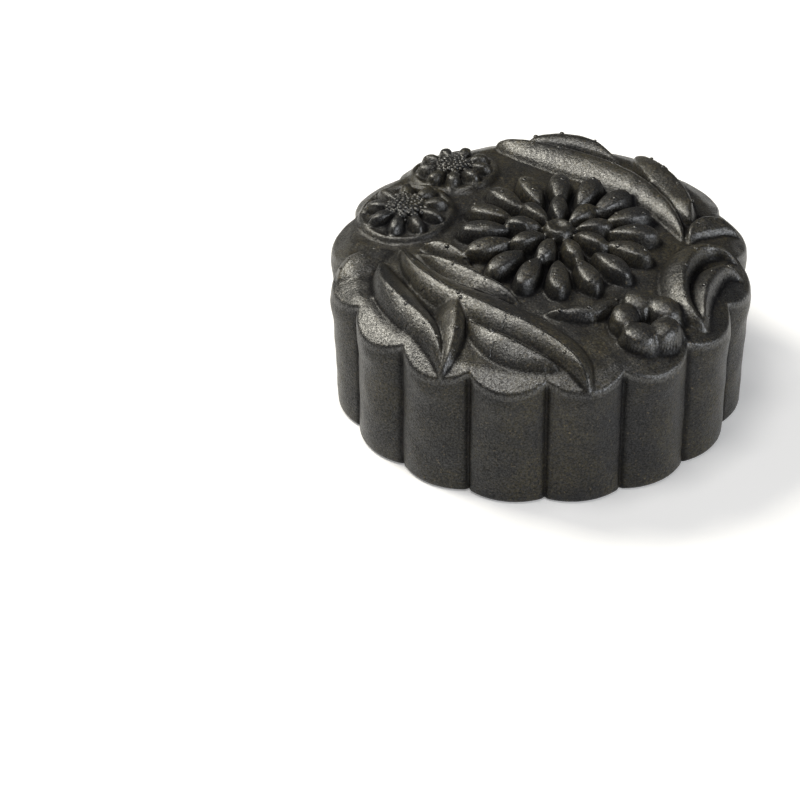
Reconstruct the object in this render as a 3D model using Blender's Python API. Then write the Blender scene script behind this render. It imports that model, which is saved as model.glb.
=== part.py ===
"""A round mooncake: a fluted cake with leaves, blossoms and a boss pressed into its top.

The cake stands on the XY plane with its middle over the origin. -Y is the front,
where the long leaf runs out over the rim. All lengths are in metres.
"""

import math

import bmesh
import bpy
from mathutils import Vector

MM = 0.001

# Fluted side
LOBE_COUNT = 16
FIRST_GROOVE = math.radians(-87.39)
CROWN_RADIUS = 40.2 * MM
GROOVE_RADIUS = 37.5 * MM
FOOT_CROWN_RADIUS = 39.0 * MM
FOOT_GROOVE_RADIUS = 37.3 * MM
FOOT_ROUND = 1.0 * MM
LIP_ROUND = 0.9 * MM
LOBE_STEPS = 8

# Domed top, a little higher at the back
FIELD_HEIGHT = 31.3 * MM
FIELD_FALL = 2.0 * MM
FIELD_TILT = 1.05 * MM
SHOULDER_START = 36.3 * MM
SHOULDER_EASE = 0.6 * MM
SHOULDER_SLOPE = 0.5

# Relief
ROOT_DEPTH = 1.4 * MM
EDGE_STEP = 0.3
FLOWER_CENTRE = (3.4 * MM, 3.2 * MM)
FLOWER_RADIUS = 19.2 * MM
OUTER_PETALS = 16
INNER_PETALS = 9
LEFT_MEDALLION_CENTRE = (-25.8 * MM, 11.4 * MM)
LEFT_MEDALLION_RADII = (9.3 * MM, 9.6 * MM)
BACK_MEDALLION_CENTRE = (-17.0 * MM, 25.6 * MM)
BACK_MEDALLION_RADII = (8.6 * MM, 7.6 * MM)
MEDALLION_PETALS = 9
BOSS_CENTRE = (20.0 * MM, -22.2 * MM)
BOSS_RADII = (6.9 * MM, 8.2 * MM)
BOSS_PETALS = 5

# Baked charcoal-black skin
SKIN_COLOUR = (0.045, 0.043, 0.040, 1.0)
SKIN_ROUGHNESS = 0.55


def clear_scene():
    """Empty the scene."""
    for item in list(bpy.data.objects):
        bpy.data.objects.remove(item, do_unlink=True)


def skin_material():
    """Make the dark baked skin."""
    material = bpy.data.materials.new("charcoal_skin")
    material.use_nodes = True
    shader = material.node_tree.nodes["Principled BSDF"]
    shader.inputs["Base Color"].default_value = SKIN_COLOUR
    shader.inputs["Roughness"].default_value = SKIN_ROUGHNESS
    shader.inputs["Metallic"].default_value = 0.0
    return material


def field_height(x, y):
    """Height of the plain top at a point: a shallow dome that drops at its shoulder."""
    radius = math.hypot(x, y)
    height = FIELD_HEIGHT - FIELD_FALL * (radius / GROOVE_RADIUS) ** 2
    height += FIELD_TILT * y / GROOVE_RADIUS
    past = radius - SHOULDER_START
    return height - SHOULDER_SLOPE * 0.5 * (past + math.hypot(past, SHOULDER_EASE))


def lobed_radius(angle, crown, groove):
    """Radius of an outline of equal circular-arc lobes that meet in grooves."""
    pitch = 2.0 * math.pi / LOBE_COUNT
    local = (angle - FIRST_GROOVE) % pitch - pitch / 2.0
    half = pitch / 2.0
    centre = (crown ** 2 - groove ** 2) / (2.0 * (crown - groove * math.cos(half)))
    arc = crown - centre
    return centre * math.cos(local) + math.sqrt(arc ** 2 - (centre * math.sin(local)) ** 2)


def side_radius(angle, rise):
    """Radius of the side, where rise runs from 0 at the foot to 1 at the lip."""
    crown = FOOT_CROWN_RADIUS + (CROWN_RADIUS - FOOT_CROWN_RADIUS) * rise
    groove = FOOT_GROOVE_RADIUS + (GROOVE_RADIUS - FOOT_GROOVE_RADIUS) * rise
    return lobed_radius(angle, crown, groove)


def body_rings():
    """Work out the cake's rings of points from the foot up over the lip to the middle."""
    count = LOBE_COUNT * LOBE_STEPS
    angles = [FIRST_GROOVE + 2.0 * math.pi * i / count for i in range(count)]
    rings = []
    for inset, height in ((FOOT_ROUND, 0.0), (0.3 * FOOT_ROUND, 0.3 * FOOT_ROUND), (0.0, FOOT_ROUND)):
        ring = []
        for angle in angles:
            radius = side_radius(angle, 0.0) - inset
            ring.append(Vector((radius * math.cos(angle), radius * math.sin(angle), height)))
        rings.append(ring)
    for rise in (0.35, 0.7, 0.9, 1.0):
        ring = []
        for angle in angles:
            radius = side_radius(angle, rise)
            x, y = radius * math.cos(angle), radius * math.sin(angle)
            lip = field_height(x, y) - LIP_ROUND
            ring.append(Vector((x, y, FOOT_ROUND + (lip - FOOT_ROUND) * rise)))
        rings.append(ring)
    for inset, drop in ((0.3 * LIP_ROUND, 0.3 * LIP_ROUND), (LIP_ROUND, 0.0)):
        ring = []
        for angle in angles:
            radius = side_radius(angle, 1.0) - inset
            x, y = radius * math.cos(angle), radius * math.sin(angle)
            ring.append(Vector((x, y, field_height(x, y) - drop)))
        rings.append(ring)
    for share in (0.99, 0.9, 0.7, 0.45, 0.2):
        ring = []
        for angle in angles:
            radius = share * SHOULDER_START
            x, y = radius * math.cos(angle), radius * math.sin(angle)
            ring.append(Vector((x, y, field_height(x, y))))
        rings.append(ring)
    return rings


def loft(name, rings, material, collection, start=None, end=None):
    """Skin a row of closed rings, with a flat or pointed cap at each end."""
    mesh = bmesh.new()
    rows = [[mesh.verts.new(point) for point in ring] for ring in rings]
    count = len(rows[0])
    for lower, upper in zip(rows, rows[1:]):
        for i in range(count):
            j = (i + 1) % count
            mesh.faces.new((lower[i], lower[j], upper[j], upper[i]))
    for row, point, turn in ((rows[0], start, True), (rows[-1], end, False)):
        if point is None:
            mesh.faces.new(reversed(row) if turn else row)
            continue
        apex = mesh.verts.new(point)
        for i in range(count):
            a, b = row[i], row[(i + 1) % count]
            mesh.faces.new((b, a, apex) if turn else (a, b, apex))
    bmesh.ops.triangulate(mesh, faces=mesh.faces[:])
    bmesh.ops.recalc_face_normals(mesh, faces=mesh.faces[:])
    data = bpy.data.meshes.new(name)
    mesh.to_mesh(data)
    mesh.free()
    data.materials.append(material)
    item = bpy.data.objects.new(name, data)
    collection.objects.link(item)
    return item


def bezier(points, s):
    """Point on a cubic curve through a root, two handles and a tip."""
    root, first, second, tip = (Vector(point) for point in points)
    t = 1.0 - s
    return root * t ** 3 + first * (3 * s * t * t) + second * (3 * s * s * t) + tip * s ** 3


def ridge_section(crest):
    """Cross-section of a ridge as pairs of places across it and shares of its height."""
    left, right = 1.0 - crest, 1.0 + crest
    return (
        (-1.0, None),
        (-1.0, EDGE_STEP),
        (-1.0 + 0.45 * right, 0.8),
        (crest, 1.0),
        (crest + 0.55 * left, 0.8),
        (1.0, EDGE_STEP),
        (1.0, None),
    )


def ridge(name, course, half_width, height, target,
          widest=0.5, crest=(0.0, 0.0), blunt=0.75, steps=11):
    """Raise a tapering ridge on the top along a course in plan.

    The crest leans to the left of the course for positive values, from the first at the
    root to the second at the tip. The ridge is half_width wide each side where it is
    widest. A small blunt value rounds its ends.
    """
    material, collection = target
    skew = math.log(0.5) / math.log(widest)
    rings = []
    for i in range(steps):
        s = 0.02 + 0.96 * (0.5 - 0.5 * math.cos(math.pi * i / (steps - 1)))
        spot = bezier(course, s)
        ahead = (bezier(course, s + 0.01) - bezier(course, s - 0.01)).normalized()
        left = Vector((-ahead.y, ahead.x))
        swell = math.sin(math.pi * s ** skew)
        width = half_width * swell ** blunt
        ring = []
        for across, share in ridge_section(crest[0] + (crest[1] - crest[0]) * s):
            place = spot + left * (across * width)
            base = field_height(place.x, place.y)
            lift = -ROOT_DEPTH if share is None else share * height * swell ** (0.5 * blunt)
            ring.append(Vector((place.x, place.y, base + lift)))
        rings.append(ring)
    return loft(name, rings, material, collection)


def button(name, centre, radii, height, target, sides=14, dimple=0.0):
    """Raise a round or oval button with a soft edge and an optional dimple."""
    material, collection = target
    x, y = centre
    rings = []
    outline = ((1.0, -ROOT_DEPTH), (1.0, 0.45 * height), (0.86, 0.8 * height), (0.5, height))
    for share, lift in outline:
        ring = []
        for i in range(sides):
            angle = 2.0 * math.pi * i / sides
            px = x + share * radii[0] * math.cos(angle)
            py = y + share * radii[1] * math.sin(angle)
            ring.append(Vector((px, py, field_height(px, py) + lift)))
        rings.append(ring)
    top = Vector((x, y, field_height(x, y) + height - dimple))
    return loft(name, rings, material, collection, end=top)


def petal_ring(name, centre, count, inner, radii, half_width, height, target, turn=0.0, steps=7):
    """Set plump petals round a centre, from an inner radius out to a circle or an oval."""
    middle = Vector(centre)
    for i in range(count):
        angle = turn + 2.0 * math.pi * i / count
        out = Vector((math.cos(angle), math.sin(angle)))
        outer = Vector((out.x * radii[0], out.y * radii[1]))
        course = [middle + out * inner + (outer - out * inner) * (k / 3.0) for k in range(4)]
        ridge(f"{name}_{i}", course, half_width, height, target, widest=0.6, blunt=0.42, steps=steps)


def flower(target):
    """Set the many-petalled flower in the middle of the top."""
    inner_tip = 0.56 * FLOWER_RADIUS
    outer_root = 0.46 * FLOWER_RADIUS
    outer_half = 0.86 * math.pi * 0.8 * FLOWER_RADIUS / OUTER_PETALS
    inner_half = 0.9 * math.pi * 0.66 * inner_tip / INNER_PETALS
    petal_ring("outer_petal", FLOWER_CENTRE, OUTER_PETALS, outer_root,
               (FLOWER_RADIUS, FLOWER_RADIUS), outer_half, 3.5 * MM, target)
    petal_ring("inner_petal", FLOWER_CENTRE, INNER_PETALS, 2.6 * MM,
               (inner_tip, inner_tip), inner_half, 3.8 * MM, target, turn=math.radians(11.0))
    button("flower_eye", FLOWER_CENTRE, (3.3 * MM, 3.3 * MM), 3.3 * MM, target, dimple=0.7 * MM)


def medallion(name, centre, radii, target, turn):
    """Set a low oval plate that carries a small blossom."""
    button(f"{name}_plate", centre, radii, 1.2 * MM, target, sides=28)
    reach = (0.88 * radii[0], 0.88 * radii[1])
    petal_ring(f"{name}_petal", centre, MEDALLION_PETALS, 1.8 * MM, reach,
               1.9 * MM, 2.9 * MM, target, turn=turn, steps=5)
    eye = (0.4 * radii[0], 0.4 * radii[1])
    button(f"{name}_eye", centre, eye, 3.2 * MM, target, sides=10)


def boss(target):
    """Set the oval boss, five fat petals about a pit."""
    petal_ring("boss_petal", BOSS_CENTRE, BOSS_PETALS, 1.0 * MM, BOSS_RADII,
               4.0 * MM, 3.7 * MM, target, turn=math.radians(36.0), steps=9)


def plan(*numbers):
    """Turn plan coordinates in millimetres into the points of a course."""
    return [(numbers[i] * MM, numbers[i + 1] * MM) for i in range(0, len(numbers), 2)]


def leaves(target):
    """Lay the leaves round the rim, each along its own course from root to tip."""
    ridge("long_leaf", plan(-26.2, 0.0, -23.6, -19.5, 6.4, -24.5, 9.4, -38.8),
          4.3 * MM, 3.7 * MM, target, widest=0.55, crest=(-0.1, -0.2), blunt=0.6, steps=15)
    ridge("inner_leaf", plan(-24.6, -0.6, -18.5, -7.4, -11.6, -13.3, -3.5, -17.4),
          2.4 * MM, 3.1 * MM, target, widest=0.62, crest=(0.5, 0.4))
    ridge("small_leaf", plan(-22.8, -0.2, -19.5, -0.8, -16.3, -2.4, -13.2, -6.4),
          1.8 * MM, 2.5 * MM, target, crest=(0.3, 0.3))
    ridge("front_leaf", plan(-13.5, -22.0, -11.3, -30.1, -3.3, -33.2, 4.0, -35.3),
          2.9 * MM, 3.2 * MM, target, widest=0.55, crest=(0.5, 0.3))
    ridge("left_leaf", plan(-29.6, -4.8, -30.1, -16.6, -18.6, -23.5, -18.3, -35.0),
          3.6 * MM, 3.5 * MM, target, widest=0.42, crest=(-0.6, 0.5), steps=13)
    ridge("short_leaf", plan(-15.8, -15.2, -17.4, -21.6, -14.9, -28.8, -18.2, -35.4),
          3.0 * MM, 3.1 * MM, target, widest=0.32, crest=(0.35, 0.3), blunt=0.55)
    ridge("rim_leaf_left", plan(-27.5, -0.6, -31.5, -1.4, -34.8, -4.4, -38.2, -7.6),
          3.7 * MM, 1.6 * MM, target, widest=0.58, crest=(0.3, 0.3), blunt=0.6)
    ridge("hooked_leaf", plan(37.2, -0.4, 25.5, 7.9, 20.6, -17.2, 31.2, -21.6),
          2.9 * MM, 3.6 * MM, target, crest=(0.0, 0.0), blunt=0.65, steps=14)
    ridge("nested_leaf", plan(38.2, -4.6, 30.6, -1.9, 28.4, -15.6, 31.3, -21.4),
          2.5 * MM, 3.2 * MM, target, widest=0.45, crest=(0.1, 0.1))
    ridge("rim_leaf_right", plan(28.3, 3.4, 28.4, 8.0, 32.6, 10.4, 38.0, 9.2),
          2.3 * MM, 2.7 * MM, target, widest=0.55, crest=(0.45, 0.45))
    ridge("back_leaf", plan(-9.2, 36.2, 3.0, 28.0, 21.5, 24.0, 27.0, 4.5),
          3.5 * MM, 3.3 * MM, target, widest=0.45, crest=(0.5, 0.5), blunt=0.55, steps=14)
    ridge("rim_leaf_back", plan(-3.4, 34.9, 3.0, 38.6, 9.8, 34.4, 15.0, 29.6),
          2.5 * MM, 3.0 * MM, target, widest=0.42, crest=(0.5, 0.5))
    ridge("far_leaf", plan(18.0, 32.2, 21.3, 24.0, 27.0, 17.5, 28.2, 9.5),
          2.8 * MM, 3.4 * MM, target, crest=(0.6, 0.6), blunt=0.5)
    ridge("low_leaf", plan(15.8, -15.0, 12.0, -20.6, 6.0, -21.4, 0.6, -20.2),
          1.9 * MM, 2.4 * MM, target, widest=0.45)


def join(body, relief):
    """Fuse the relief with the cake into one solid and drop the loose pieces."""
    fuse = body.modifiers.new("relief", "BOOLEAN")
    fuse.operation = "UNION"
    fuse.operand_type = "COLLECTION"
    fuse.collection = relief
    fuse.solver = "EXACT"
    fused = bpy.data.meshes.new_from_object(
        body.evaluated_get(bpy.context.evaluated_depsgraph_get()))
    body.modifiers.clear()
    body.data = fused
    for item in list(relief.objects):
        bpy.data.objects.remove(item, do_unlink=True)
    bpy.data.collections.remove(relief)


def tidy_mesh(body, flat_angle=math.radians(0.5), weld=0.004 * MM):
    """Merge faces that the union split in one plane, and shade the skin smooth."""
    mesh = bmesh.new()
    mesh.from_mesh(body.data)
    bmesh.ops.triangulate(mesh, faces=mesh.faces[:])
    bmesh.ops.dissolve_limit(
        mesh, angle_limit=flat_angle, verts=mesh.verts[:], edges=mesh.edges[:])
    bmesh.ops.triangulate(mesh, faces=mesh.faces[:])
    bmesh.ops.dissolve_degenerate(mesh, dist=weld, edges=mesh.edges[:])
    bmesh.ops.triangulate(mesh, faces=mesh.faces[:])
    mesh.to_mesh(body.data)
    mesh.free()
    body.data.shade_smooth()
    body.data.set_sharp_from_angle(angle=math.radians(35.0))


def main():
    """Model the mooncake as one solid."""
    clear_scene()
    material = skin_material()
    body = loft("mooncake", body_rings(), material, bpy.context.scene.collection,
                end=Vector((0.0, 0.0, field_height(0.0, 0.0))))
    relief = bpy.data.collections.new("relief")
    bpy.context.scene.collection.children.link(relief)
    target = (material, relief)
    flower(target)
    medallion("left_medallion", LEFT_MEDALLION_CENTRE, LEFT_MEDALLION_RADII, target, 0.2)
    medallion("back_medallion", BACK_MEDALLION_CENTRE, BACK_MEDALLION_RADII, target, 0.5)
    boss(target)
    leaves(target)
    bpy.context.view_layer.update()
    join(body, relief)
    tidy_mesh(body)


main()
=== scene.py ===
"""A charcoal-black mooncake: fluted side, domed top, and a relief of leaves and blossoms.

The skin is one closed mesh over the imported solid. Vent nubs and blossom beads are set on
it by Geometry Nodes. Plan sizes inside the relief functions are in millimetres, in the
frame's own axes, and every mesh is made in metres.
"""

import math

import bpy
import numpy as np
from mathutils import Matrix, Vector


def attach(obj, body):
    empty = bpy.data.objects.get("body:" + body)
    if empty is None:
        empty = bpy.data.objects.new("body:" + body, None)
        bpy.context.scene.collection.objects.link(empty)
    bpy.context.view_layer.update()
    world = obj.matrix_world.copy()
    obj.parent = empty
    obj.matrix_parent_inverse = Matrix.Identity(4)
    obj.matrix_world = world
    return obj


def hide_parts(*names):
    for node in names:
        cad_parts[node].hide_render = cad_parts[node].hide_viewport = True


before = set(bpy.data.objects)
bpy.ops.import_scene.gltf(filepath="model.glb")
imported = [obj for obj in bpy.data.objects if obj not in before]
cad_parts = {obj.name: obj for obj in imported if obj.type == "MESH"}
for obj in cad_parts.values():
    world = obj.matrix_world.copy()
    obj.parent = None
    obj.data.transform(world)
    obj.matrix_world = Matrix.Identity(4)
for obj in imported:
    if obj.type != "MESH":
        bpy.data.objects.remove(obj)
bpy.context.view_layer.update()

bl_info = {
    "name": "Charcoal Mooncake",
    "version": (1, 0, 0),
    "blender": (4, 5, 0),
    "location": "View3D > Sidebar > Mooncake",
    "description": "Builds a fluted mooncake with a pressed relief, its nubs and a studio",
    "category": "Add Mesh",
}

MM = 0.001
BODY = "root"
NODE = "mooncake"

# Stations of the skin's grid
TOP_RINGS = 128
LIP_RINGS = 7
WALL_RINGS = 24
FOOT_RINGS = 4
LIP_BAND = 1.3
UNDERSIDE_SHARE = 0.6

# Distance given to a point that lies on no leaf with a rib
FAR_FROM_RIB = 5.0

# The photograph's camera
CAMERA_PLACE = (0.0, -0.77694, 0.57370)
CAMERA_PITCH = math.radians(53.333)
CAMERA_YAW = math.radians(1.963)
CAMERA_LENS = 225.0
SENSOR_WIDTH = 36.0

# Point that every light faces
LIGHT_AIM = (0.0, 0.0, 0.02)


class CakeSettings(bpy.types.PropertyGroup):
    """Sizes of the cake's body."""

    lobes: bpy.props.IntProperty(
        name="Lobes", description="Number of flutes round the side", default=16, min=3)
    first_groove: bpy.props.FloatProperty(
        name="First groove", description="Angle of one groove about the middle",
        default=math.radians(-87.39), subtype="ANGLE")
    crown_radius: bpy.props.FloatProperty(
        name="Crown radius", description="From the middle to a lobe's crown at the lip",
        default=40.2 * MM, subtype="DISTANCE", unit="LENGTH")
    groove_radius: bpy.props.FloatProperty(
        name="Groove radius", description="From the middle to a groove at the lip",
        default=37.5 * MM, subtype="DISTANCE", unit="LENGTH")
    foot_crown_radius: bpy.props.FloatProperty(
        name="Foot crown radius", description="From the middle to a lobe's crown at the foot",
        default=39.0 * MM, subtype="DISTANCE", unit="LENGTH")
    foot_groove_radius: bpy.props.FloatProperty(
        name="Foot groove radius", description="From the middle to a groove at the foot",
        default=37.3 * MM, subtype="DISTANCE", unit="LENGTH")
    field_height: bpy.props.FloatProperty(
        name="Field height", description="Height of the plain top at the middle",
        default=31.3 * MM, subtype="DISTANCE", unit="LENGTH")
    field_fall: bpy.props.FloatProperty(
        name="Field fall", description="How far the dome drops by the grooves",
        default=2.0 * MM, subtype="DISTANCE", unit="LENGTH")
    field_tilt: bpy.props.FloatProperty(
        name="Field tilt", description="How much higher the back is than the middle",
        default=1.05 * MM, subtype="DISTANCE", unit="LENGTH")
    shoulder_start: bpy.props.FloatProperty(
        name="Shoulder start", description="Radius at which the top turns down to its edge",
        default=36.3 * MM, subtype="DISTANCE", unit="LENGTH")
    shoulder_ease: bpy.props.FloatProperty(
        name="Shoulder ease", description="How gently the shoulder begins",
        default=0.6 * MM, subtype="DISTANCE", unit="LENGTH")
    shoulder_slope: bpy.props.FloatProperty(
        name="Shoulder slope", description="Fall of the shoulder for each unit outwards",
        default=0.5, min=0.0, max=1.5)
    lip_round: bpy.props.FloatProperty(
        name="Lip round", description="Radius of the edge between top and side",
        default=0.55 * MM, subtype="DISTANCE", unit="LENGTH")
    foot_round: bpy.props.FloatProperty(
        name="Foot round", description="Radius of the edge at the foot",
        default=1.0 * MM, subtype="DISTANCE", unit="LENGTH")
    bulge: bpy.props.FloatProperty(
        name="Bulge", description="How far the lobes swell out below the lip",
        default=0.28 * MM, subtype="DISTANCE", unit="LENGTH")
    field_dullness: bpy.props.FloatProperty(
        name="Field dullness", description="Share of its sheen that the plain top lacks",
        default=0.3, min=0.0, max=1.0)
    side_dullness: bpy.props.FloatProperty(
        name="Side dullness", description="Share of its sheen that the dry side lacks",
        default=0.72, min=0.0, max=1.0)
    groove_cut: bpy.props.FloatProperty(
        name="Groove cut", description="Extra depth of the sharp line in each groove",
        default=0.4 * MM, subtype="DISTANCE", unit="LENGTH")
    unevenness: bpy.props.FloatProperty(
        name="Unevenness", description="How far the dough strays from its mould",
        default=0.14 * MM, subtype="DISTANCE", unit="LENGTH")


class ReliefSettings(bpy.types.PropertyGroup):
    """Sizes of what is pressed into the top."""

    flower_radius: bpy.props.FloatProperty(
        name="Flower radius", description="From the flower's eye to its outer petal tips",
        default=19.2 * MM, subtype="DISTANCE", unit="LENGTH")
    outer_petals: bpy.props.IntProperty(
        name="Outer petals", description="Petals in the flower's outer ring", default=16, min=3)
    inner_petals: bpy.props.IntProperty(
        name="Inner petals", description="Petals in the flower's inner ring", default=9, min=3)
    medallion_petals: bpy.props.IntProperty(
        name="Medallion petals", description="Petals of each oval blossom", default=9, min=3)
    depth: bpy.props.FloatProperty(
        name="Depth", description="Share of the full relief height", default=1.0, min=0.2, max=1.5)
    nub_size: bpy.props.FloatProperty(
        name="Nub size", description="Radius of a vent nub",
        default=0.43 * MM, subtype="DISTANCE", unit="LENGTH")
    bead_size: bpy.props.FloatProperty(
        name="Bead size", description="Radius of a bead in a blossom's eye",
        default=0.48 * MM, subtype="DISTANCE", unit="LENGTH")


class SkinSettings(bpy.types.PropertyGroup):
    """Colours of the baked dough."""

    charcoal: bpy.props.FloatVectorProperty(
        name="Charcoal", description="Main colour of the dough", subtype="COLOR",
        size=4, min=0.0, max=1.0, default=(0.014, 0.014, 0.0145, 1.0))
    toasted: bpy.props.FloatVectorProperty(
        name="Toasted", description="Olive-brown of the drier patches", subtype="COLOR",
        size=4, min=0.0, max=1.0, default=(0.055, 0.047, 0.026, 1.0))
    crumb: bpy.props.FloatVectorProperty(
        name="Crumb", description="Pale tan of the fine specks", subtype="COLOR",
        size=4, min=0.0, max=1.0, default=(0.14, 0.11, 0.065, 1.0))
    roughness: bpy.props.FloatProperty(
        name="Roughness", description="Roughness of the satin skin", default=0.34, min=0.0, max=1.0)
    grain: bpy.props.FloatProperty(
        name="Grain", description="Depth of the fine grain",
        default=0.12 * MM, subtype="DISTANCE", unit="LENGTH")


class StageSettings(bpy.types.PropertyGroup):
    """Floor and lights."""

    floor: bpy.props.FloatVectorProperty(
        name="Floor", description="Colour of the pale floor", subtype="COLOR",
        size=4, min=0.0, max=1.0, default=(0.965, 0.965, 0.97, 1.0))
    key_power: bpy.props.FloatProperty(
        name="Key light", description="Power of the key light at the left", default=5.0,
        min=0.0, subtype="POWER", unit="POWER")
    fill_power: bpy.props.FloatProperty(
        name="Fill light", description="Power of the fill light at the right", default=2.6,
        min=0.0, subtype="POWER", unit="POWER")
    top_power: bpy.props.FloatProperty(
        name="Top light", description="Power of the wide light overhead", default=2.6,
        min=0.0, subtype="POWER", unit="POWER")
    floor_glow: bpy.props.FloatProperty(
        name="Floor glow", description="Light that the backlit floor gives off", default=0.26,
        min=0.0)
    room: bpy.props.FloatProperty(
        name="Room light", description="Strength of the light from all round", default=0.06,
        min=0.0)


def soft_step(low, high, value):
    """Rise smoothly from 0 at low to 1 at high."""
    t = np.clip((value - low) / (high - low), 0.0, 1.0)
    return t * t * (3.0 - 2.0 * t)


def blend_max(first, second, softness):
    """Take the larger of two heights, with a small fillet where they meet."""
    h = np.clip(0.5 + 0.5 * (first - second) / softness, 0.0, 1.0)
    return second + (first - second) * h + softness * h * (1.0 - h)


def ripple(x, y, z, length, seed):
    """Smooth seeded waves between about -1 and 1, with a given wavelength in millimetres."""
    random = np.random.default_rng(seed)
    total = np.zeros_like(x, dtype=float)
    waves = 9
    for _ in range(waves):
        direction = random.normal(size=3)
        direction /= np.linalg.norm(direction)
        phase = random.uniform(0.0, 2.0 * math.pi)
        stretch = random.uniform(0.7, 1.5)
        along = x * direction[0] + y * direction[1] + z * direction[2]
        total += np.sin(2.0 * math.pi * along / (length * stretch) + phase)
    return total / math.sqrt(waves)


def lobed_radius(cake, angle, crown, groove):
    """Radius of an outline of equal arcs that meet in grooves, in the units of its radii."""
    pitch = 2.0 * math.pi / cake.lobes
    half = pitch / 2.0
    local = (angle - cake.first_groove) % pitch - half
    centre = (crown ** 2 - groove ** 2) / (2.0 * (crown - groove * math.cos(half)))
    arc = crown - centre
    return centre * np.cos(local) + np.sqrt(arc ** 2 - (centre * np.sin(local)) ** 2)


def field_height(cake, x, y):
    """Height of the plain top in millimetres: a shallow dome that drops at its shoulder."""
    groove = cake.groove_radius / MM
    radius = np.hypot(x, y)
    height = cake.field_height / MM - cake.field_fall / MM * (radius / groove) ** 2
    height = height + cake.field_tilt / MM * y / groove
    past = radius - cake.shoulder_start / MM
    return height - cake.shoulder_slope * 0.5 * (past + np.hypot(past, cake.shoulder_ease / MM))


class Ridge:
    """A tapering ridge along a course in plan, such as a leaf or a petal."""

    LEAST_WIDTH = 0.12
    WALL_FOOT = -0.25
    RIB_SHIFT = 0.04
    RIB_INSET = 0.25

    def __init__(self, course, half_width, height, widest=0.5, crest=(0.0, 0.0),
                 blunt=0.75, slant=0.48, droop=0.42, keen=2.6, shelf=0.3, brink=0.45, rib=False):
        self.course = np.array(course, dtype=float)
        self.half_width = half_width
        self.height = height
        self.skew = math.log(0.5) / math.log(widest)
        self.crest = crest
        self.blunt = blunt
        self.keen = keen
        self.slant = slant
        self.droop = droop
        self.shelf = shelf
        self.brink = brink
        self.rib = rib

    def spine(self, count=140):
        """Points along the cubic course."""
        s = np.linspace(0.0, 1.0, count)[:, None]
        root, first, second, tip = self.course
        t = 1.0 - s
        return root * t ** 3 + first * (3 * s * t * t) + second * (3 * s * s * t) + tip * s ** 3

    def locate(self, x, y):
        """Nearest share along the course and the distance to its left, for every point."""
        spine = self.spine()
        start, run = spine[:-1], spine[1:] - spine[:-1]
        length = np.hypot(run[:, 0], run[:, 1])
        dx = x[:, None] - start[None, :, 0]
        dy = y[:, None] - start[None, :, 1]
        along = (dx * run[:, 0] + dy * run[:, 1]) / length ** 2
        along = np.clip(along, 0.0, 1.0)
        off_x = dx - along * run[:, 0]
        off_y = dy - along * run[:, 1]
        distance = np.hypot(off_x, off_y)
        best = distance.argmin(axis=1)
        rows = np.arange(len(x))
        side = run[best, 0] * dy[rows, best] - run[best, 1] * dx[rows, best]
        share = (best + along[rows, best]) / len(run)
        return share, distance[rows, best] * np.where(side < 0.0, -1.0, 1.0)

    def reach(self, x, y):
        """Which points lie near enough to matter."""
        spine = self.spine(24)
        margin = self.half_width + 1.5
        return ((x > spine[:, 0].min() - margin) & (x < spine[:, 0].max() + margin)
                & (y > spine[:, 1].min() - margin) & (y < spine[:, 1].max() + margin))

    def raise_on(self, x, y, relief, rib, fillet=0.22):
        """Blend the ridge into the relief height and the signed rib distance."""
        near = np.nonzero(self.reach(x, y))[0]
        share, off = self.locate(x[near], y[near])
        swell = np.sin(math.pi * np.clip(share, 1e-4, 1.0 - 1e-4) ** self.skew)
        width = np.maximum(self.half_width * swell ** self.blunt, self.LEAST_WIDTH)
        across = off / width
        crest = self.crest[0] + (self.crest[1] - self.crest[0]) * share
        left = np.clip((across - crest) / (1.0 - crest), 0.0, 1.0)
        right = np.clip((crest - across) / (1.0 + crest), 0.0, 1.0)
        fall = np.maximum(left, right)
        slant = np.where(across > crest, self.shelf, 1.0) * self.slant
        section = 1.0 - slant * fall - self.droop * fall ** self.keen
        edge = width - np.abs(off)
        wall = soft_step(self.WALL_FOOT, self.brink, edge)
        height = self.height * swell ** (0.5 * self.blunt) * section * wall
        softness = fillet * np.clip(2.0 * height, 0.02, 1.0)
        relief[near] = blend_max(height, relief[near], softness)
        if self.rib:
            line = off - (crest + self.RIB_SHIFT) * width
            inside = edge > self.RIB_INSET
            rib[near[inside]] = line[inside]


def petals(centre, count, inner, radii, half_width, height, turn=0.0, **look):
    """Plump petals round a centre, from an inner radius out to a circle or an oval."""
    made = []
    for i in range(count):
        angle = turn + 2.0 * math.pi * i / count
        out = np.array((math.cos(angle), math.sin(angle)))
        root = np.array(centre) + out * inner
        tip = np.array(centre) + out * np.array(radii)
        course = [root + (tip - root) * k / 3.0 for k in range(4)]
        made.append(Ridge(course, half_width, height, **look))
    return made


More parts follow.
